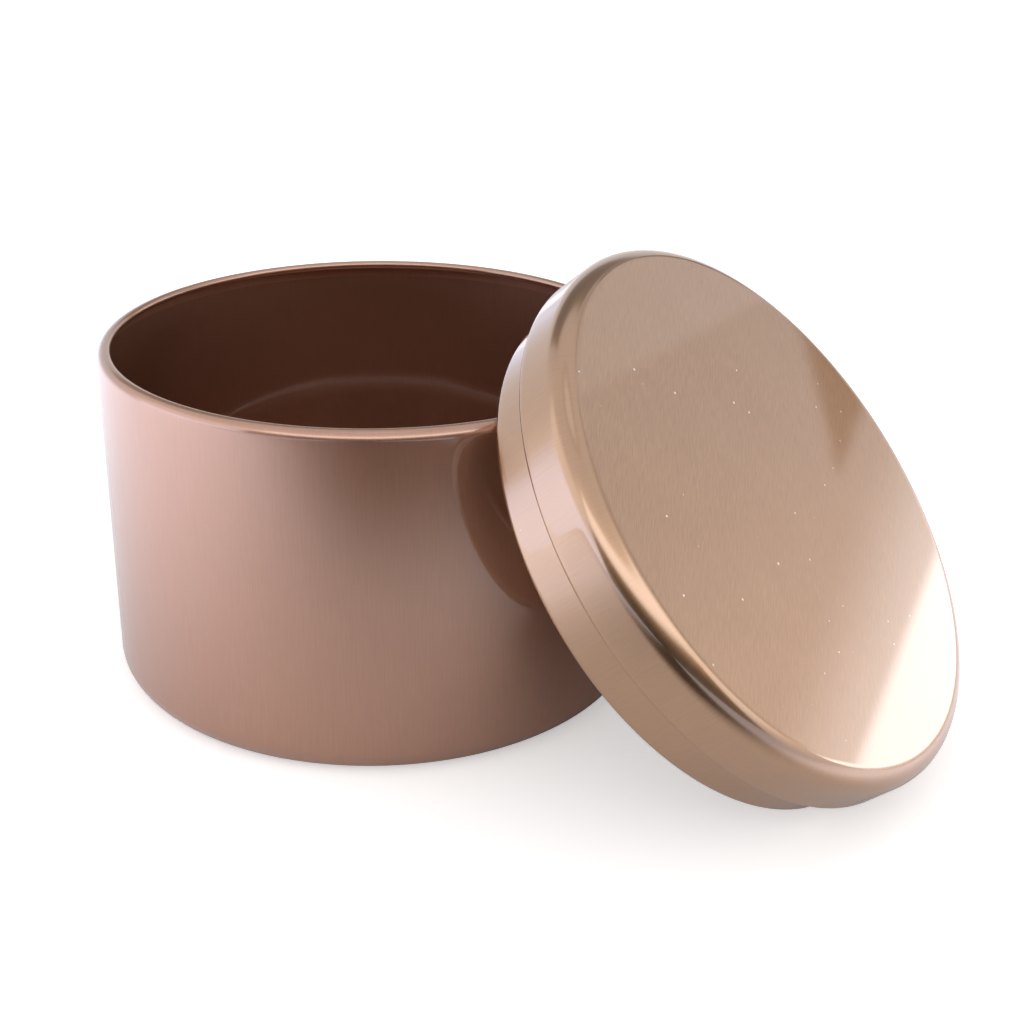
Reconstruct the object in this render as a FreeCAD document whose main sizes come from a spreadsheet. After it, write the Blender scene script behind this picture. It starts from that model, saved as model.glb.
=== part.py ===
"""A candle tin and its push-in lid, the lid leaning on the open tin.

Frame: +Z up, the origin at the centre of the tin's foot, the lid leaning on the +X side.
Each of the two pieces is one sheet-metal shell, turned about its own axis.
"""
import FreeCAD, Part
import math
import os
import re

import Sketcher

# Driving dimensions in millimetres and degrees: name, value, what it is.
SIZES = [
    ("tin_diameter", 80.0, "outside diameter of the tin, and of the lid's outer band"),
    ("tin_height", 50.4, "foot to the top of the rim"),
    ("sheet", 0.3, "thickness of the sheet metal in both pieces"),
    ("foot_corner", 3.9, "outside radius between the foot and the wall"),
    ("foot_width", 2.6, "flat ring that the tin stands on"),
    ("base_recess", 0.8, "how far the base panel is raised inside the foot ring"),
    ("rim_outer_bend", 1.4, "radius of the rim's curl on its outer side"),
    ("rim_inner_bend", 0.6, "radius of the rim's curl on its inner side"),
    ("plug_clearance", 0.1, "radial play between the lid's plug and the tin's mouth"),
    ("lid_height", 14.9, "lid's open edge to its flat panel"),
    ("lid_band", 8.2, "height of the lid's outer band, panel to step"),
    ("shoulder_bend", 3.2, "radius between the lid's band and its panel"),
    ("crease_angle", 17.0, "angle in degrees at which the shoulder meets the panel"),
    ("band_edge", 0.6, "rounding of the outer band's lower edge"),
    ("hem", 0.93, "radius of the curl round the plug's open edge"),
    ("lean_angle", 48.85, "tilt of the leaning lid's axis from upright, in degrees"),
    ("lean_gap", 0.25, "gap left where the leaning lid meets the tin's rim"),
]

doc = FreeCAD.newDocument("CandleTin")
table = doc.addObject("Spreadsheet::Sheet", "Sizes")
for row, (alias, value, meaning) in enumerate(SIZES, start=1):
    table.set(f"A{row}", alias)
    table.set(f"B{row}", str(value))
    table.set(f"C{row}", meaning)
    table.setAlias(f"B{row}", alias)
doc.recompute()

ALIAS = re.compile(r"\b(" + "|".join(alias for alias, _, _ in SIZES) + r")\b")


def bound(formula):
    """The formula with each size's name pointed at its cell in the table."""
    return ALIAS.sub(r"Sizes.\1", formula)


def worth(formula):
    """What a formula of sizes comes to, as a number."""
    return float(table.evalExpression(bound(formula)))


def arc_between(start, end, radius, turn):
    """The centre of the arc from start to end that turns left (+1) or right (-1), under half a turn."""
    middle = (start + end) * 0.5
    chord = end - start
    rise = math.sqrt(max(radius**2 - (chord.Length / 2) ** 2, 0.0))
    left = FreeCAD.Vector(-chord.y, chord.x, 0).normalize()
    return middle + left * rise * turn


def draw_outline(sketch, steps):
    """Draw a closed, fully constrained outline in the sketch.

    Each step is (r, z) for a straight run to that point, or (r, z, radius, turn) for an arc to it.
    r, z and radius are formulas of the sizes; turn is +1 for a left turn and -1 for a right turn.
    """
    corners = [FreeCAD.Vector(worth(step[0]), worth(step[1]), 0) for step in steps]
    starts, ends = [], []
    for index, step in enumerate(steps):
        start, end = corners[index - 1], corners[index]
        if len(step) == 2:
            edge = sketch.addGeometry(Part.LineSegment(start, end), False)
            starts.append((edge, 1))
            ends.append((edge, 2))
            continue
        radius, turn = worth(step[2]), step[3]
        centre = arc_between(start, end, radius, turn)
        first, last = (start, end) if turn > 0 else (end, start)
        angles = [math.atan2(p.y - centre.y, p.x - centre.x) for p in (first, last)]
        if angles[1] < angles[0]:
            angles[1] += 2 * math.pi
        circle = Part.Circle(centre, FreeCAD.Vector(0, 0, 1), radius)
        edge = sketch.addGeometry(Part.ArcOfCircle(circle, *angles), False)
        starts.append((edge, 1 if turn > 0 else 2))
        ends.append((edge, 2 if turn > 0 else 1))
        size = sketch.addConstraint(Sketcher.Constraint("Radius", edge, radius))
        sketch.setExpression(f"Constraints[{size}]", bound(step[2]))
    for index, step in enumerate(steps):
        following = starts[(index + 1) % len(steps)]
        sketch.addConstraint(Sketcher.Constraint("Coincident", *ends[index], *following))
        for kind, formula, value in (
            ("DistanceX", step[0], corners[index].x),
            ("DistanceY", step[1], corners[index].y),
        ):
            size = sketch.addConstraint(Sketcher.Constraint(kind, -1, 1, *ends[index], value))
            sketch.setExpression(f"Constraints[{size}]", bound(formula))


def turned_body(label, steps):
    """A body whose outline in its XZ plane is turned all the way round its Z axis."""
    body = doc.addObject("PartDesign::Body", label)
    body.Label = label
    features = body.Origin.OriginFeatures
    plane = next(item for item in features if item.Role == "XZ_Plane")
    outline = body.newObject("Sketcher::SketchObject", label + "_outline")
    outline.AttachmentSupport = [(plane, "")]
    outline.MapMode = "FlatFace"
    draw_outline(outline, steps)
    shell = body.newObject("PartDesign::Revolution", label + "_shell")
    shell.Profile = outline
    shell.ReferenceAxis = (outline, ["V_Axis"])
    shell.Angle = 360.0
    doc.recompute()
    return body


SEARCH_STEPS = 17  # halvings of a span under 100 mm, which leave less than a micrometre

# Radii that the two pieces share
WALL = "(tin_diameter / 2)"
MOUTH = f"({WALL} - rim_outer_bend - rim_inner_bend)"
PLUG = f"({MOUTH} - plug_clearance)"


def make_tin():
    """The drawn tin: recessed base, rounded foot, straight wall and a rim curled inwards."""
    foot_outer = f"{WALL} - foot_corner"
    foot_inner = f"{foot_outer} - foot_width"
    curl_top = f"{WALL} - rim_outer_bend"
    curl_under = "tin_height - 2 * rim_inner_bend"
    return turned_body("tin_body", [
        ("0", "base_recess"),
        (foot_inner, "base_recess"),
        (foot_inner, "0"),
        (foot_outer, "0"),
        (WALL, "foot_corner", "foot_corner", 1),
        (WALL, "tin_height - rim_outer_bend"),
        (curl_top, "tin_height", "rim_outer_bend", 1),
        (MOUTH, "tin_height - rim_inner_bend", "rim_inner_bend", 1),
        (curl_top, curl_under, "rim_inner_bend", 1),
        (f"{WALL} - sheet", curl_under),
        (f"{WALL} - sheet", "foot_corner"),
        (foot_outer, "sheet", "foot_corner - sheet", -1),
        (f"{foot_inner} + sheet", "sheet"),
        (f"{foot_inner} + sheet", "base_recess + sheet"),
        ("0", "base_recess + sheet"),
    ])


def make_lid():
    """The pressed lid: flat panel, shoulder, outer band, step in to the plug, and a curled open edge."""
    step_under = "lid_height - lid_band"
    shoulder_drop = "shoulder_bend * cos(crease_angle)"
    shoulder_end = f"lid_height - {shoulder_drop}"
    panel = f"{WALL} - shoulder_bend + shoulder_bend * sin(crease_angle)"
    panel_inside = (
        f"{WALL} - shoulder_bend"
        f" + sqrt((shoulder_bend - sheet)^2 - ({shoulder_drop} - sheet)^2)"
    )
    return turned_body("lid", [
        ("0", "lid_height - sheet"),
        (panel_inside, "lid_height - sheet"),
        (f"{WALL} - sheet", shoulder_end, "shoulder_bend - sheet", -1),
        (f"{WALL} - sheet", f"{step_under} + sheet"),
        (f"{PLUG} - sheet", f"{step_under} + sheet"),
        (f"{PLUG} - sheet", "2 * hem"),
        (f"{PLUG} - hem", "2 * hem"),
        (f"{PLUG} - 2 * hem", "hem", "hem", 1),
        (f"{PLUG} - hem", "0", "hem", 1),
        (PLUG, "hem", "hem", 1),
        (PLUG, step_under),
        (f"{WALL} - band_edge", step_under),
        (WALL, f"{step_under} + band_edge", "band_edge", 1),
        (WALL, shoulder_end),
        (panel, "lid_height", "shoulder_bend", 1),
        ("0", "lid_height"),
    ])


def lean_on(lid, tin):
    """Stand the lid's open edge on the floor and lean it on the tin's rim, a small gap away.

    The lid's axis leans away from the tin's in the XZ plane. Its height comes from the curl round
    its open edge, which touches the floor; its distance is searched for, because two curled edges
    that cross at an angle have no simple formula.
    """
    tilt = math.radians(worth("lean_angle"))
    curl_centre = worth(f"{PLUG} - hem")
    curl = worth("hem")
    height = curl_centre * math.sin(tilt) + curl * (1 - math.cos(tilt))
    turn = FreeCAD.Rotation(FreeCAD.Vector(0, 1, 0), math.degrees(tilt))
    gap = worth("lean_gap")

    def gap_at(distance):
        lid.Placement = FreeCAD.Placement(FreeCAD.Vector(distance, 0, height), turn)
        moved = lid.Shape.copy()
        moved.Placement = lid.Placement
        return moved.distToShape(tin.Shape)[0]

    far = worth("tin_diameter + lid_height")
    near = 0.0
    for _ in range(SEARCH_STEPS):
        middle = (near + far) / 2
        if gap_at(middle) > gap:
            far = middle
        else:
            near = middle
    gap_at(far)
    doc.recompute()
    return far, height


tin = make_tin()
lid = make_lid()
stand_off, stand_height = lean_on(lid, tin)
print(f"lid's open edge: centre {stand_off:.3f} mm from the tin's axis, {stand_height:.3f} mm up")

for item in doc.Objects:
    if "Invalid" in item.State or "Error" in item.State:
        raise RuntimeError(f"{item.Name} failed: {item.State}")
for piece in (tin, lid):
    if piece.Shape.isNull() or not piece.Shape.isValid() or len(piece.Shape.Solids) != 1:
        raise RuntimeError(f"{piece.Label} is not one valid solid")

os.makedirs("parts", exist_ok=True)
for piece in (tin, lid):
    piece.Shape.exportStep(f"parts/{piece.Label}.step")
    box = piece.Shape.BoundBox
    print(
        f"{piece.Label}: x {box.XMin:.2f} to {box.XMax:.2f}, y {box.YMin:.2f} to {box.YMax:.2f},"
        f" z {box.ZMin:.2f} to {box.ZMax:.2f}, {piece.Shape.Volume / 1000:.3f} cm3"
    )
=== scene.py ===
# %% [markdown]
# # A rose-gold candle tin with its lid leaning on it
#
# Two pieces of thin lacquered tinplate: a tin drawn from one disc, and a lid pressed from another.
# Both are round, so each is made from a profile carried round an axis. The lessons come in the order
# in which a maker would take them: the frame, the camera, the shells, the lacquer, the table, and the
# room that the metal shows back to us.
#
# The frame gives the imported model's bodies and boxes. The tin's own box says how wide and high it is,
# so those two sizes are read from it and never typed again.

import math

import bpy
import numpy as np
from mathutils import Matrix, Vector


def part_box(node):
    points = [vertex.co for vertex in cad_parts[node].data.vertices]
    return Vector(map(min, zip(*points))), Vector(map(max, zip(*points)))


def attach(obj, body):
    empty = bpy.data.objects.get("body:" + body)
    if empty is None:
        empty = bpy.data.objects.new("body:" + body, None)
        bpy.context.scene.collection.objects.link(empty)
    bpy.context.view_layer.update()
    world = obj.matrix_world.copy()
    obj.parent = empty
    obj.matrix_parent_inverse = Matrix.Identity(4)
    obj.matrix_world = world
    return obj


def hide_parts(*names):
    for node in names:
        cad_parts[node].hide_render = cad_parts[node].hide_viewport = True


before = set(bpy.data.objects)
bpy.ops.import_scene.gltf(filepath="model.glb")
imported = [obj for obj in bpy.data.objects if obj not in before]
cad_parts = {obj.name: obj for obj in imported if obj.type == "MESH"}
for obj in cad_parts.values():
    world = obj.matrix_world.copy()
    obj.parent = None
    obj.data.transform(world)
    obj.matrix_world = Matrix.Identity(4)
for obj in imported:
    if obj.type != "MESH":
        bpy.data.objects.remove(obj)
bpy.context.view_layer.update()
MM = 0.001

tin_low, tin_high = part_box("tin_body")
lid_low, lid_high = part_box("lid")
WALL_RADIUS = (tin_high.x - tin_low.x) / 2
TIN_HEIGHT = tin_high.z - tin_low.z
print(f"tin {2 * WALL_RADIUS / MM:.1f} mm across and {TIN_HEIGHT / MM:.1f} mm high")

# %% [markdown]
# ## Small helpers
#
# Colours are written as the sRGB hex values that a colour picker gives. Blender's shaders work with
# linear light, so one function turns them. A second function adds a shader node with its settings
# and its links in one call. Nodes could also be wired up by hand in the shader editor, but a script
# with one such function is shorter, and it can be read and changed as text.

# %% Colour and node helpers
def linear(hex_colour, alpha=1.0):
    """A hex colour as linear light: each channel undone by the sRGB curve."""
    srgb = np.array([int(hex_colour[i:i + 2], 16) for i in (1, 3, 5)]) / 255
    light = np.where(srgb <= 0.04045, srgb / 12.92, ((srgb + 0.055) / 1.055) ** 2.4)
    return (*light.tolist(), alpha)


def add_node(tree, kind, settings=None, **inputs):
    """Adds one shader node. Settings are its properties; inputs are values, or sockets to link from."""
    node = tree.nodes.new("ShaderNode" + kind)
    for name, value in (settings or {}).items():
        setattr(node, name, value)
    for name, value in inputs.items():
        socket = node.inputs[int(name[1:])] if name[1:].isdigit() else node.inputs[name.replace("_", " ")]
        if isinstance(value, bpy.types.NodeSocket):
            tree.links.new(value, socket)
        else:
            socket.default_value = value
    return node


print("rose lacquer in linear light:", [round(c, 3) for c in linear("#c39278")])

# %% [markdown]
# ## The camera
#
# The camera looks down at the tin from the front, a little to the tin's side of the lid. Its aim could
# be a Track To constraint at an empty, but that can't hold a slight roll or put the pair off centre. So
# its place is given round the tin's axis, and its aim by two turns and a roll, as on a tripod's head.

# %% Camera
CAMERA_DISTANCE = 0.232912  # metres from the tin's axis
CAMERA_HEIGHT = 0.126016  # metres above the table
CAMERA_ROUND = -56.75  # degrees round the axis from +X
CAMERA_TURN = -4.97  # degrees to the right of the axis
CAMERA_DOWN = 24.13
CAMERA_ROLL = 0.917
LENS, SENSOR = 58.42, 36.0  # millimetres


def place_camera():
    """A camera whose forward line is the way to the tin's axis, turned, then tipped down, then rolled."""
    around = math.radians(CAMERA_ROUND)
    place = Vector((math.cos(around), math.sin(around), 0)) * CAMERA_DISTANCE
    place.z = CAMERA_HEIGHT
    heading = around + math.pi + math.radians(CAMERA_TURN)
    down = math.radians(CAMERA_DOWN)
    level = Vector((math.cos(heading), math.sin(heading), 0))
    forward = level * math.cos(down) - Vector((0, 0, 1)) * math.sin(down)
    right = forward.cross(Vector((0, 0, 1))).normalized()
    up = right.cross(forward)
    roll = math.radians(CAMERA_ROLL)
    tilted_right = right * math.cos(roll) + up * math.sin(roll)
    tilted_up = up * math.cos(roll) - right * math.sin(roll)
    data = bpy.data.cameras.new("camera")
    data.lens, data.sensor_width = LENS, SENSOR
    data.clip_start, data.clip_end = 0.01, 50.0
    camera = bpy.data.objects.new("camera", data)
    bpy.context.scene.collection.objects.link(camera)
    axes = Matrix((tilted_right, tilted_up, -forward)).transposed()
    camera.matrix_world = Matrix.Translation(place) @ axes.to_4x4()
    bpy.context.scene.camera = camera
    return camera


camera = place_camera()
print("camera stands at", [round(c, 4) for c in camera.matrix_world.translation])

# %% [markdown]
# ## Turned shells
#
# Both pieces come off a press as round shells. The Screw modifier could turn a drawn line, but it
# leaves a pole of many points on the axis and gives nothing to hang the lacquer's grain on. Here a
# profile is a list of points (distance from the axis, height), made of straight runs and arcs joined
# end to end, and it is carried round the axis as one array. Where it starts and ends on the axis the
# ring of points is a single point, so the shell is closed without a seam.

# %% Profile pieces
def run(start, end, count=2):
    """A straight run: start + t (end - start), t from 0 to 1."""
    t = np.linspace(0, 1, count)[:, None]
    return np.array(start) + t * (np.array(end) - np.array(start))


def bend(centre, radius, first, last, count=10):
    """An arc: centre + radius (cos a, sin a), a from first to last in degrees."""
    a = np.radians(np.linspace(first, last, count))
    return np.array(centre) + radius * np.stack([np.cos(a), np.sin(a)], axis=-1)


def joined(*pieces):
    """Runs and arcs end to end, without the points that repeat where two of them meet."""
    line = np.concatenate(pieces)
    apart = np.linalg.norm(np.diff(line, axis=0), axis=1) > 1e-9
    return line[np.r_[True, apart]]


print("a quarter bend of radius 1 ends at", bend((0, 0), 1, 0, 90)[-1].round(3).tolist())

# %% Carry a profile round
ROUND_STEPS = 288
LEVEL = 0.97  # the cosine of 14 degrees: the profile counts as level below that slope


def carried(profile, s):
    """The profile's points off the axis carried round, and its two ends on the axis after them.

    Point (i, j) of the first array is (r_i cos a_j, r_i sin a_j, z_i), with a_j = 2 pi j / ROUND_STEPS.
    Point (i, j) of the second is (R cos a_j, R sin a_j, s_i), with R the wall's radius.
    """
    a = np.arange(ROUND_STEPS) * 2 * np.pi / ROUND_STEPS
    ring = np.stack([np.cos(a), np.sin(a)], axis=-1)
    off_axis, off_s = profile[1:-1], s[1:-1]
    own = np.concatenate([
        off_axis[:, None, :1] * ring[None],
        np.broadcast_to(off_axis[:, None, 1:], (len(off_axis), ROUND_STEPS, 1)),
    ], axis=-1).reshape(-1, 3)
    drawn = np.concatenate([
        np.broadcast_to(ring[None] * WALL_RADIUS, (len(off_axis), ROUND_STEPS, 2)),
        np.broadcast_to(off_s[:, None, None], (len(off_axis), ROUND_STEPS, 1)),
    ], axis=-1).reshape(-1, 3)
    own = np.concatenate([own, [[0, 0, profile[0, 1]], [0, 0, profile[-1, 1]]]])
    drawn = np.concatenate([drawn, [[0, 0, s[0]], [0, 0, s[-1]]]])
    return own, drawn


def woven(rows):
    """The faces of such a grid: quads between its rings, and a fan of triangles at each end.

    Quad (i, j) joins points (i, j), (i, j + 1), (i + 1, j + 1) and (i + 1, j), with j taken round.
    """
    row = np.arange(rows - 1)[:, None] * ROUND_STEPS
    j = np.arange(ROUND_STEPS)[None]
    k = (j + 1) % ROUND_STEPS
    quads = np.stack([row + j, row + k, row + ROUND_STEPS + k, row + ROUND_STEPS + j], -1).reshape(-1, 4)
    last = (rows - 1) * ROUND_STEPS
    first_pole, last_pole = rows * ROUND_STEPS, rows * ROUND_STEPS + 1
    caps = np.concatenate([
        np.stack([k[0], j[0], np.full(ROUND_STEPS, first_pole)], -1),
        np.stack([last + j[0], last + k[0], np.full(ROUND_STEPS, last_pole)], -1),
    ])
    return quads.tolist() + caps.tolist()


def turned_mesh(name, profile, place=Matrix.Identity(4)):
    """A profile from axis to axis carried round, as a mesh put in its place.

    Its attributes serve the lacquer. "own" is a point's place before the piece is put in position.
    "drawn" has the length s along the profile as its height, for marks that follow the pressing. "flat"
    is 1 where the profile runs level, and "lined" is 1 on the inner side, where the profile comes back
    down and in; both are 0 elsewhere.
    """
    s = np.r_[0, np.cumsum(np.linalg.norm(np.diff(profile, axis=0), axis=1))]
    own, drawn = carried(profile, s)
    before, after = profile[1:-1] - profile[:-2], profile[2:] - profile[1:-1]
    way = (before / np.linalg.norm(before, axis=1, keepdims=True)
           + after / np.linalg.norm(after, axis=1, keepdims=True)) / 2
    flat = np.r_[np.repeat(np.abs(way[:, 0]) > LEVEL, ROUND_STEPS), True, True]
    lined = np.r_[np.repeat(way.sum(axis=1) < 0, ROUND_STEPS), False, True]

    where = np.array(place)
    points = own @ where[:3, :3].T + where[:3, 3]
    mesh = bpy.data.meshes.new(name)
    mesh.from_pydata(points.tolist(), [], woven(len(profile) - 2))
    for title, values in (("own", own), ("drawn", drawn)):
        attribute = mesh.attributes.new(title, "FLOAT_VECTOR", "POINT")
        attribute.data.foreach_set("vector", values.astype(np.float32).ravel())
    for title, values in (("flat", flat), ("lined", lined)):
        mesh.attributes.new(title, "FLOAT", "POINT").data.foreach_set("value", values.astype(np.float32))
    mesh.shade_smooth()
    mesh.validate()
    return mesh


print(f"a ring has {ROUND_STEPS} points, {2 * math.pi * WALL_RADIUS / ROUND_STEPS / MM:.2f} mm apart")


# %% Show a mesh and measure it
def shown(name, mesh):
    """The mesh as an object at the origin, in the scene."""
    piece = bpy.data.objects.new(name, mesh)
    bpy.context.scene.collection.objects.link(piece)
    return piece


def enclosed(mesh):
    """The volume inside a closed mesh; it is negative when the faces point inwards."""
    mesh.calc_loop_triangles()
    corners = np.empty(len(mesh.vertices) * 3)
    mesh.vertices.foreach_get("co", corners)
    index = np.empty(len(mesh.loop_triangles) * 3, dtype=np.int64)
    mesh.loop_triangles.foreach_get("vertices", index)
    a, b, c = corners.reshape(-1, 3)[index.reshape(-1, 3)].transpose(1, 0, 2)
    return float(np.einsum("ij,ij->i", a, np.cross(b, c)).sum() / 6)


print("shells are measured by the volume that they enclose")

# %% [markdown]
# ## The tin
#
# A press pushes a disc of tinplate through a ring, which draws it up into a seamless cup. The mouth
# is then trimmed and rolled inwards, so that no cut edge shows. A single surface with a Solidify
# modifier could make the sheet, but it pinches inside a curl as tight as this one. So the profile
# follows one skin of the sheet from the middle of the base out, up the wall and round the curl, and
# comes back along the other skin, one sheet thickness inside it.

# %% Tin sizes and profile
SHEET = 0.3 * MM
FOOT_CORNER = 3.9 * MM
FOOT_WIDTH = 2.6 * MM
BASE_RECESS = 0.8 * MM
RIM_OUTER = 1.4 * MM
RIM_INNER = 0.6 * MM
STEP_BEND = 0.45 * MM  # the two small bends between the foot and the raised base
STEP_SLANT = 1.6  # how far in the upper of them stands, in bends
CURL_END = 318  # degrees, where the rim's curl stops, just short of the wall


def tin_profile():
    """Both skins of the drawn tin, from the axis under the base to the axis over it."""
    wall, top = WALL_RADIUS, TIN_HEIGHT
    corner = (wall - FOOT_CORNER, FOOT_CORNER)
    outer_curl = (wall - RIM_OUTER, top - RIM_OUTER)
    inner_curl = (wall - RIM_OUTER, top - RIM_INNER)
    foot = wall - FOOT_CORNER - FOOT_WIDTH
    low = (foot, STEP_BEND)
    high = (foot - STEP_SLANT * STEP_BEND, BASE_RECESS - STEP_BEND)
    under = joined(
        run((0, BASE_RECESS), (high[0], BASE_RECESS), 60),
        bend(high, STEP_BEND, 90, 20, 8),
        bend(low, STEP_BEND, 200, 270, 8),
        run((foot, 0), (corner[0], 0), 4),
        bend(corner, FOOT_CORNER, -90, 0, 22),
        run((wall, FOOT_CORNER), (wall, top - RIM_OUTER), 40),
        bend(outer_curl, RIM_OUTER, 0, 90, 16),
        bend(inner_curl, RIM_INNER, 90, CURL_END, 26),
    )
    over = joined(
        bend(inner_curl, RIM_INNER - SHEET, CURL_END, 90, 16),
        bend(outer_curl, RIM_OUTER - SHEET, 90, 0, 10),
        run((wall - SHEET, top - RIM_OUTER), (wall - SHEET, FOOT_CORNER), 30),
        bend(corner, FOOT_CORNER - SHEET, 0, -90, 16),
        run((corner[0], SHEET), (foot, SHEET), 3),
        bend(low, STEP_BEND - SHEET, 270, 200, 5),
        bend(high, STEP_BEND + SHEET, 20, 90, 8),
        run((high[0], BASE_RECESS + SHEET), (0, BASE_RECESS + SHEET), 40),
    )
    return joined(under, over)


tin_mesh = turned_mesh("tin_shell", tin_profile())
print(f"tin: {len(tin_mesh.polygons)} faces, {enclosed(tin_mesh) * 1e6:.2f} cm3 of metal")

# %% [markdown]
# ## The lid
#
# The lid is pressed from a second disc: a flat panel, a shoulder, an outer band as wide as the tin,
# and a plug that steps in to fit the tin's mouth. The shoulder's arc doesn't run out level with the
# panel, so a fine crease stays where they meet. The lid could be leaned by turning its object, but a
# finished piece stays at the origin, so the lean is put into its points: it is turned upright first,
# with its open edge at height 0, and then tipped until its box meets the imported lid's box.

# %% Lid sizes and profile
PLUG_CLEARANCE = 0.1 * MM
LID_HEIGHT = 14.9 * MM
LID_BAND = 8.2 * MM
SHOULDER = 3.2 * MM
CREASE = 17.0  # degrees between the shoulder's end and the panel
BAND_EDGE = 0.6 * MM
HEM = 0.93 * MM
HEM_TURN = 225  # degrees that the open edge is rolled
LEAN = 48.85  # degrees from upright


def lid_profile():
    """Both skins of the pressed lid, from the axis under the panel to the axis over it."""
    wall, top = WALL_RADIUS, LID_HEIGHT
    plug = wall - RIM_OUTER - RIM_INNER - PLUG_CLEARANCE
    step = top - LID_BAND
    shoulder = (wall - SHOULDER, top - SHOULDER * math.cos(math.radians(CREASE)))
    edge = (wall - BAND_EDGE, step + BAND_EDGE)
    hem = (plug - HEM, HEM)
    inner_reach = math.sqrt((SHOULDER - SHEET) ** 2 - (top - SHEET - shoulder[1]) ** 2)
    inner_top = math.degrees(math.atan2(top - SHEET - shoulder[1], inner_reach))
    inside = joined(
        run((0, top - SHEET), (shoulder[0] + inner_reach, top - SHEET), 40),
        bend(shoulder, SHOULDER - SHEET, inner_top, 0, 14),
        run((wall - SHEET, shoulder[1]), (wall - SHEET, edge[1]), 6),
        bend(edge, BAND_EDGE - SHEET, 0, -90, 6),
        run((edge[0], step + SHEET), (plug, step + SHEET), 2),
        bend((plug, step), SHEET, 90, 180, 6),
        run((plug - SHEET, step), (plug - SHEET, HEM), 6),
        bend(hem, HEM - SHEET, 0, -HEM_TURN, 22),
    )
    outside = joined(
        bend(hem, HEM, -HEM_TURN, 0, 34),
        run((plug, HEM), (plug, step), 8),
        run((plug, step), (edge[0], step), 3),
        bend(edge, BAND_EDGE, -90, 0, 10),
        run((wall, edge[1]), (wall, shoulder[1]), 8),
        bend(shoulder, SHOULDER, 0, 90 - CREASE, 24),
        run((shoulder[0] + SHOULDER * math.sin(math.radians(CREASE)), top), (0, top), 70),
    )
    return joined(inside, outside)


def lean_place(profile):
    """The turn about Y and the shift that lean the upright lid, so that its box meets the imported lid's.

    A point (r, z) of the profile, carried round, comes down to x = z sin(lean) - r cos(lean) and
    z cos(lean) - r sin(lean) at its lowest.
    """
    lean = math.radians(LEAN)
    reach, height = profile.T
    low_x = (height * math.sin(lean) - reach * math.cos(lean)).min()
    low_z = (height * math.cos(lean) - reach * math.sin(lean)).min()
    shift = Matrix.Translation((lid_low.x - low_x, 0, lid_low.z - low_z))
    return shift @ Matrix.Rotation(lean, 4, "Y")


lid_line = lid_profile()
lid_mesh = turned_mesh("lid_shell", lid_line, lean_place(lid_line))
print(f"lid: {len(lid_mesh.polygons)} faces, {enclosed(lid_mesh) * 1e6:.2f} cm3 of metal")

# %% Put the shells on their bodies
tin_piece = shown("tin_shell", tin_mesh)
lid_piece = shown("lid_shell", lid_mesh)
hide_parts("tin_body")
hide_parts("lid")
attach(tin_piece, "tin")
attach(lid_piece, "lid")
print("shells in place:", tin_piece.name, "and", lid_piece.name)

# %% [markdown]
# ## Rose-gold lacquer on tinplate
#
# Tinplate is bright metal with a fine rolling grain. The rose colour is a thin tinted lacquer, so the
# metal under it colours every reflection, and the lacquer's own surface adds a second, untinted and
# much sharper one on top. A tinted glossy shader alone could give the colour, but it would look like
# bare copper, because the white reflections would be missing. So it is a metal with a clear coat: the
# metal soft, the coat glossy and strong.

# %% Rolling grain
GRAIN_ANGLE = -57  # degrees, the way the sheet was rolled, across the lid's panel
GRAIN_WIDE, GRAIN_LONG = 0.16 * MM, 2.4 * MM  # real grain is finer, and wouldn't show
GRAIN_DEPTH = 0.006 * MM
CLOUD_SIZE = 14 * MM  # patches where the lacquer ran a little thicker


def streaks(tree, place, scale, detail=2.0):
    """Noise stretched into streaks: place is scaled per axis to streaks per metre."""
    stretched = add_node(tree, "VectorMath", {"operation": "MULTIPLY"}, i0=place, i1=scale).outputs[0]
    noise = add_node(tree, "TexNoise", Vector=stretched, Scale=1.0, Detail=detail, Roughness=0.6)
    return noise.outputs["Fac"]


def rolling_grain(tree, own, flat):
    """Straight streaks on the flats; on the drawn walls fainter ones, pulled along by the die."""
    drawn = add_node(tree, "Attribute", {"attribute_name": "drawn"}).outputs["Vector"]
    turned = add_node(tree, "VectorRotate", {"rotation_type": "Z_AXIS"}, Vector=own,
                      Angle=math.radians(-GRAIN_ANGLE)).outputs[0]
    rolled = streaks(tree, turned, (1 / GRAIN_LONG, 1 / GRAIN_WIDE, 1 / GRAIN_WIDE))
    pressed = streaks(tree, drawn, (1 / GRAIN_WIDE, 1 / GRAIN_WIDE, 1 / (2 * GRAIN_LONG)))
    faint = add_node(tree, "MapRange", Value=pressed, From_Min=0.3, From_Max=0.7,
                     To_Min=0.43, To_Max=0.57).outputs[0]
    return add_node(tree, "Mix", {"data_type": "FLOAT"}, i0=flat, i2=faint, i3=rolled).outputs[0]


print(f"grain {GRAIN_WIDE / MM:.2f} mm wide, {GRAIN_LONG / MM:.1f} mm long, {GRAIN_DEPTH / MM:.3f} mm deep")

# %% Dust
SPECK_APART, SPECK_SIZE = 2.8 * MM, 0.2 * MM
SPECK_COLOUR = "#f2e6da"


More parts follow.
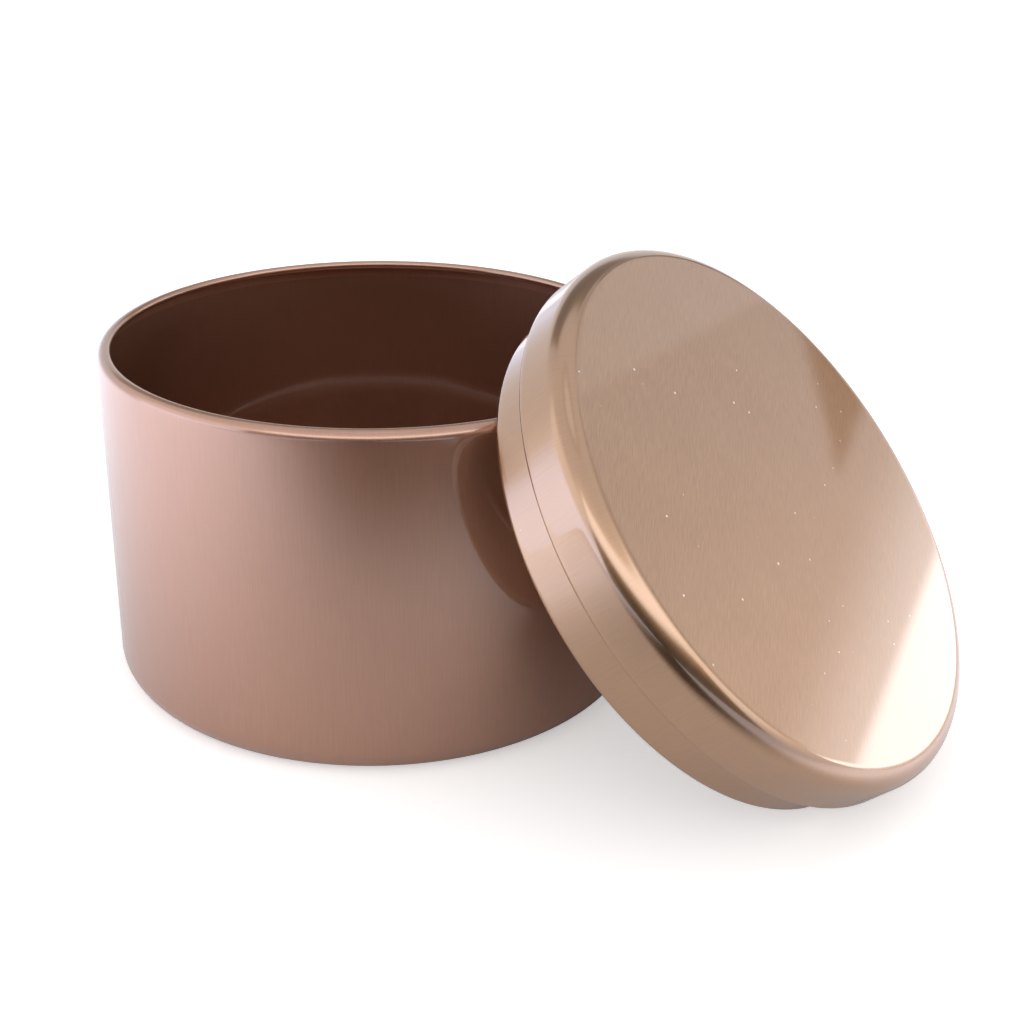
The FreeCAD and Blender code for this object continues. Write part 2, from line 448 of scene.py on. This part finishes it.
def dust_mask(tree, own, flat, dust):
    """1 on a speck of dust, 0 elsewhere: a ball of chance size in each Voronoi cell, smaller off the flats."""
    cells = add_node(tree, "TexVoronoi", {"feature": "F1"}, Vector=own, Scale=1 / SPECK_APART, Randomness=1.0)
    chance = add_node(tree, "SeparateColor", Color=cells.outputs["Color"]).outputs[0]
    reach = add_node(tree, "MapRange", Value=chance, From_Min=0.2, From_Max=1.0, To_Min=0.0,
                     To_Max=dust * SPECK_SIZE / SPECK_APART).outputs[0]
    settled = add_node(tree, "MapRange", Value=flat, To_Min=0.3).outputs[0]
    reach = add_node(tree, "Math", {"operation": "MULTIPLY"}, i0=reach, i1=settled).outputs[0]
    far = cells.outputs["Distance"]
    return add_node(tree, "Math", {"operation": "LESS_THAN"}, i0=far, i1=reach).outputs[0]


print(f"specks up to {2 * SPECK_SIZE / MM:.1f} mm across, about {SPECK_APART / MM:.1f} mm apart")

# %% Lacquered tinplate
METAL_SMOOTH, METAL_ROUGH = 0.38, 0.47
COAT_ROUGH, COAT_IOR = 0.035, 2.0


def painted_inside_shade(tree, own, inner):
    """Painted shade inside the tin: inner on the tin's inside, between its base and its rim, and 1 elsewhere.
    """
    lined = add_node(tree, "Attribute", {"attribute_name": "lined"}).outputs["Fac"]
    up = add_node(tree, "SeparateXYZ", Vector=own).outputs["Z"]
    base, rim = BASE_RECESS + SHEET / 2, TIN_HEIGHT - 2 * RIM_OUTER
    above = add_node(tree, "Math", {"operation": "GREATER_THAN"}, i0=up, i1=base).outputs[0]
    below = add_node(tree, "Math", {"operation": "LESS_THAN"}, i0=up, i1=rim).outputs[0]
    inside = add_node(tree, "Math", {"operation": "MULTIPLY"}, i0=lined, i1=above).outputs[0]
    inside = add_node(tree, "Math", {"operation": "MULTIPLY"}, i0=inside, i1=below).outputs[0]
    return add_node(tree, "MapRange", Value=inside, To_Min=1.0, To_Max=inner).outputs[0]


def lacquered_tinplate(name, dark, pale, dust, burnish, inner=1.0):
    """Grained metal under a tinted lacquer, with a sharper clear surface and a little dust.

    The lacquer's tone drifts between dark and pale in soft clouds, and a little along the grain.
    burnish scales the roughness where the sheet was drawn through the die: everywhere but the flats.
    inner scales the tone inside the tin: painted shade for the dark inside it.
    """
    material = bpy.data.materials.new(name)
    material.use_nodes = True
    tree = material.node_tree
    tree.nodes.clear()
    own = add_node(tree, "Attribute", {"attribute_name": "own"}).outputs["Vector"]
    flat = add_node(tree, "Attribute", {"attribute_name": "flat"}).outputs["Fac"]
    grain = rolling_grain(tree, own, flat)
    speck = dust_mask(tree, own, flat, dust)

    clouds = streaks(tree, own, (1 / CLOUD_SIZE, 1 / CLOUD_SIZE, 1 / CLOUD_SIZE), 3.0)
    tone = add_node(tree, "Mix", {"data_type": "RGBA"}, i0=clouds, i6=linear(dark), i7=linear(pale)).outputs[2]
    line = add_node(tree, "MapRange", Value=grain, From_Min=0.3, From_Max=0.7,
                    To_Min=0.86, To_Max=1.1).outputs[0]
    # Inside the tin the tone is darkened by inner: painted shade.
    grain_and_inside_shade = painted_inside_shade(tree, own, inner)
    grain_and_inside_shade = add_node(tree, "Math", {"operation": "MULTIPLY"}, i0=line, i1=grain_and_inside_shade).outputs[0]
    tone = add_node(tree, "VectorMath", {"operation": "SCALE"}, i0=tone, Scale=grain_and_inside_shade).outputs[0]
    pale_dust = linear(SPECK_COLOUR)
    colour = add_node(tree, "Mix", {"data_type": "RGBA"}, i0=speck, i6=tone, i7=pale_dust).outputs[2]
    metal = add_node(tree, "Math", {"operation": "SUBTRACT"}, i0=1.0, i1=speck).outputs[0]
    rough = add_node(tree, "MapRange", Value=grain, From_Min=0.3, From_Max=0.7,
                     To_Min=METAL_SMOOTH, To_Max=METAL_ROUGH).outputs[0]
    drawing = add_node(tree, "MapRange", Value=flat, To_Min=burnish).outputs[0]
    rough = add_node(tree, "Math", {"operation": "MULTIPLY"}, i0=rough, i1=drawing).outputs[0]
    bump = add_node(tree, "Bump", Strength=1.0, Distance=GRAIN_DEPTH, Height=grain).outputs[0]

    shader = add_node(tree, "BsdfPrincipled", Base_Color=colour, Metallic=metal, Roughness=rough, Normal=bump,
                      Coat_Weight=1.0, Coat_Roughness=COAT_ROUGH, Coat_IOR=COAT_IOR)
    add_node(tree, "OutputMaterial", Surface=shader.outputs["BSDF"])
    return material


# The tin's and the lid's tones differ a little; the lid's is yellower, a painted tint for the warmer light
# that falls on its panel.
# The tin's last value, 0.78, darkens its inside: painted shade.
tin_lacquer = lacquered_tinplate("rose_lacquered_tinplate", "#bc8a71", "#c39278", 0.8, 1.0, 0.78)
lid_lacquer = lacquered_tinplate("rose_gold_lacquered_tinplate", "#b68a67", "#bf9470", 1.0, 0.72)
for piece, lacquer in ((tin_piece, tin_lacquer), (lid_piece, lid_lacquer)):
    piece.data.materials.append(lacquer)
    print(piece.name, "is finished in", lacquer.name, "with", len(lacquer.node_tree.nodes), "nodes")

# %% [markdown]
# ## The table
#
# The tin stands on a plain white table. One lit plane could serve for the table and for its reflection,
# but then the metal is washed out where the table is white. So a second surface, just above the
# first, is seen only in the metal's reflections: it is pale near the tin, falls to dark towards the
# front, as a table does in a dark room, and glows a little on the side of each window.

# %% White table
TABLE_REACH = 6.0  # metres from the tin to the table's edge


def table_top(name, height):
    """A square plane at a height, with a material of its own."""
    corners = [(x * TABLE_REACH, y * TABLE_REACH, height) for x, y in ((-1, -1), (1, -1), (1, 1), (-1, 1))]
    mesh = bpy.data.meshes.new(name)
    mesh.from_pydata(corners, [], [(0, 1, 2, 3)])
    top = shown(name, mesh)
    material = bpy.data.materials.new(name + "_paper")
    material.use_nodes = True
    top.data.materials.append(material)
    return top, material.node_tree


floor, tree = table_top("floor", 0.0)
shader = tree.nodes["Principled BSDF"]
shader.inputs["Base Color"].default_value = linear("#f1f0ef")
shader.inputs["Roughness"].default_value = 0.9
shader.inputs["Emission Color"].default_value = linear("#ffffff")
shader.inputs["Emission Strength"].default_value = 0.45
floor.visible_glossy = False
print(f"the table is {2 * TABLE_REACH:.0f} m square")

# %% The table as the metal shows it
MIRROR_LIFT = 0.2 * MM
DARK_WAY, LEFT_WAY, RIGHT_WAY = -50, -155, 28  # compass angles in degrees

mirrored, tree = table_top("mirrored_table", MIRROR_LIFT)
shader = tree.nodes["Principled BSDF"]
place = add_node(tree, "TexCoord").outputs["Object"]


def fade(way, start, end, most):
    """A soft rise from 0 to most between two distances from the tin, in metres, along a compass way."""
    toward = (math.cos(math.radians(way)), math.sin(math.radians(way)), 0)
    along = add_node(tree, "VectorMath", {"operation": "DOT_PRODUCT"}, i0=place, i1=toward).outputs["Value"]
    return add_node(tree, "MapRange", {"interpolation_type": "SMOOTHSTEP"}, Value=along, From_Min=start,
                    From_Max=end, To_Max=most).outputs[0]


darkness = fade(DARK_WAY, 0.085, 0.155, 1.0)
tone = add_node(tree, "Mix", {"data_type": "RGBA"}, i0=darkness, i6=linear("#e6e3e1"), i7=linear("#1c1614"))
tree.links.new(tone.outputs[2], shader.inputs["Base Color"])
left_glow, right_glow = fade(LEFT_WAY, -0.01, 0.19, 1.1), fade(RIGHT_WAY, 0.07, 0.12, 0.9)
shine = add_node(tree, "Math", {"operation": "ADD"}, i0=left_glow, i1=right_glow)
shader.inputs["Emission Color"].default_value = linear("#dfe8ff")
tree.links.new(shine.outputs[0], shader.inputs["Emission Strength"])
shader.inputs["Roughness"].default_value = 1.0
shader.inputs["Specular IOR Level"].default_value = 0.0
mirrored.visible_camera = mirrored.visible_diffuse = mirrored.visible_shadow = False
print(f"the mirrored table lies {MIRROR_LIFT / MM:.1f} mm above the white one")

# %% [markdown]
# ## Studio
#
# Metal shows its surroundings more than its own colour, so the light is planned as a room of soft
# cards round the tin. Area lamps could do it, but each would light the table as well, and an edge
# that the lid's panel mirrors is easier to place by its angle. Each card is a patch of the
# surroundings with soft edges, given by the compass angle of its middle, half its width, and the
# heights of its lower and upper edges, all in degrees. A later card hangs in front of an earlier
# one. The camera itself sees a plain white background.

# %% Room of soft cards
def card_mask(tree, flat, height, middle, half, low, high, soft, tilt):
    """1 where a direction meets the card, 0 away from it, with soft edges between.

    A direction d has the height d.z, and flat is the direction laid level. The mask is the product of
    three smooth steps: one in the angle from the card's middle, and one at each of its level edges. A
    tilt slopes those: the height where they lie rises by tilt times the sine of the angle from the middle.
    """
    m, h, e = math.radians(middle), math.radians(half), math.radians(soft)
    smooth = {"interpolation_type": "SMOOTHSTEP"}
    nearness = add_node(tree, "VectorMath", {"operation": "DOT_PRODUCT"}, i0=flat,
                        i1=(math.cos(m), math.sin(m), 0)).outputs["Value"]
    across = add_node(tree, "VectorMath", {"operation": "DOT_PRODUCT"}, i0=flat,
                      i1=(-math.sin(m), math.cos(m), 0)).outputs["Value"]
    level = add_node(tree, "Math", {"operation": "MULTIPLY_ADD"}, i0=across, i1=-tilt, i2=height).outputs[0]
    beside = add_node(tree, "MapRange", smooth, Value=nearness, From_Min=math.cos(min(h + e, math.pi)),
                      From_Max=math.cos(max(h - e, 0))).outputs[0]
    above = add_node(tree, "MapRange", smooth, Value=level, From_Min=math.sin(math.radians(low) - e),
                     From_Max=math.sin(math.radians(low) + e)).outputs[0]
    below = add_node(tree, "MapRange", smooth, Value=level, From_Min=math.sin(math.radians(high) + e),
                     From_Max=math.sin(math.radians(high) - e)).outputs[0]
    mask = add_node(tree, "Math", {"operation": "MULTIPLY"}, i0=beside, i1=above).outputs[0]
    return add_node(tree, "Math", {"operation": "MULTIPLY"}, i0=mask, i1=below).outputs[0]


def room(cards, wall):
    """A world as bright as the wall, with each card's brightness mixed over it by its mask."""
    world = bpy.data.worlds.new("studio")
    bpy.context.scene.world = world
    world.use_nodes = True
    tree = world.node_tree
    tree.nodes.clear()
    toward = add_node(tree, "TexCoord").outputs["Generated"]
    level = add_node(tree, "VectorMath", {"operation": "MULTIPLY"}, i0=toward, i1=(1, 1, 0)).outputs[0]
    flat = add_node(tree, "VectorMath", {"operation": "NORMALIZE"}, i0=level).outputs[0]
    height = add_node(tree, "SeparateXYZ", Vector=toward).outputs["Z"]
    light = (wall, wall, wall, 1)
    for name, middle, half, low, high, soft, tilt, bright, tint in cards:
        mask = card_mask(tree, flat, height, middle, half, low, high, soft, tilt)
        shine = (*(bright * channel for channel in linear(tint)[:3]), 1)
        hung = add_node(tree, "Mix", {"data_type": "RGBA", "label": name}, i0=mask, i6=light, i7=shine)
        light = hung.outputs[2]
    seen = add_node(tree, "LightPath").outputs["Is Camera Ray"]
    light = add_node(tree, "Mix", {"data_type": "RGBA"}, i0=seen, i6=light, i7=(1, 1, 1, 1)).outputs[2]
    background = add_node(tree, "Background", Color=light)
    add_node(tree, "OutputWorld", Surface=background.outputs[0])
    print(len(cards), "cards hang in the room")


# %% Hang the cards
NEUTRAL, WINDOW = "#ffffff", "#d8e4ff"
WALL_BRIGHT = 0.85
CARDS = [  # name, middle, half width, low, high, softness, tilt, brightness, tint
    ("dark ceiling", 0, 190, 50, 100, 8, 0.0, 0.02, NEUTRAL),
    ("top lamp", 0, 190, 70, 100, 6, 0.0, 1.1, NEUTRAL),
    ("back wall", 125, 36, 24, 52, 4, 0.0, 0.2, NEUTRAL),
    ("left wall", -140, 30, 14, 38, 5, 0.0, 1.3, NEUTRAL),
    ("left window", -137, 27, -12, 14, 5, 0.0, 2.4, WINDOW),
    ("far left", 165, 30, -20, 6, 6, 0.0, 1.6, WINDOW),
    ("right wall", 52, 32, 8, 50, 5, 0.0, 0.5, NEUTRAL),
    ("right lamp", 12, 18, 8, 36, 5, 0.0, 1.5, NEUTRAL),
    ("front lamp", -48, 60, 28, 45, 4, 0.0, 2.3, NEUTRAL),
    ("dark front", -55, 55, -20, 24, 3, 0.0, 0.0, NEUTRAL),
    ("low panel wall", 68, 12, 2, 12.5, 0.7, 0.0, 0.65, NEUTRAL),
    ("dark gap", 76, 10.8, 11.9, 36, 0.35, 0.0, 0.0, NEUTRAL),
    ("panel wall", 65.2, 14, 11.9, 40, 0.35, 0.61, 0.65, NEUTRAL),
    ("high panel wall", 66.7, 12, 19.5, 40, 0.35, -0.87, 0.85, NEUTRAL),
    ("glow", 57, 15, 3, 9.4, 2.0, 0.0, 2.0, NEUTRAL),
    ("low white card", 53, 14, 5.0, 8.0, 0.25, 0.0, 4.4, NEUTRAL),
]
room(CARDS, WALL_BRIGHT)
bpy.context.scene.view_settings.view_transform = "Standard"
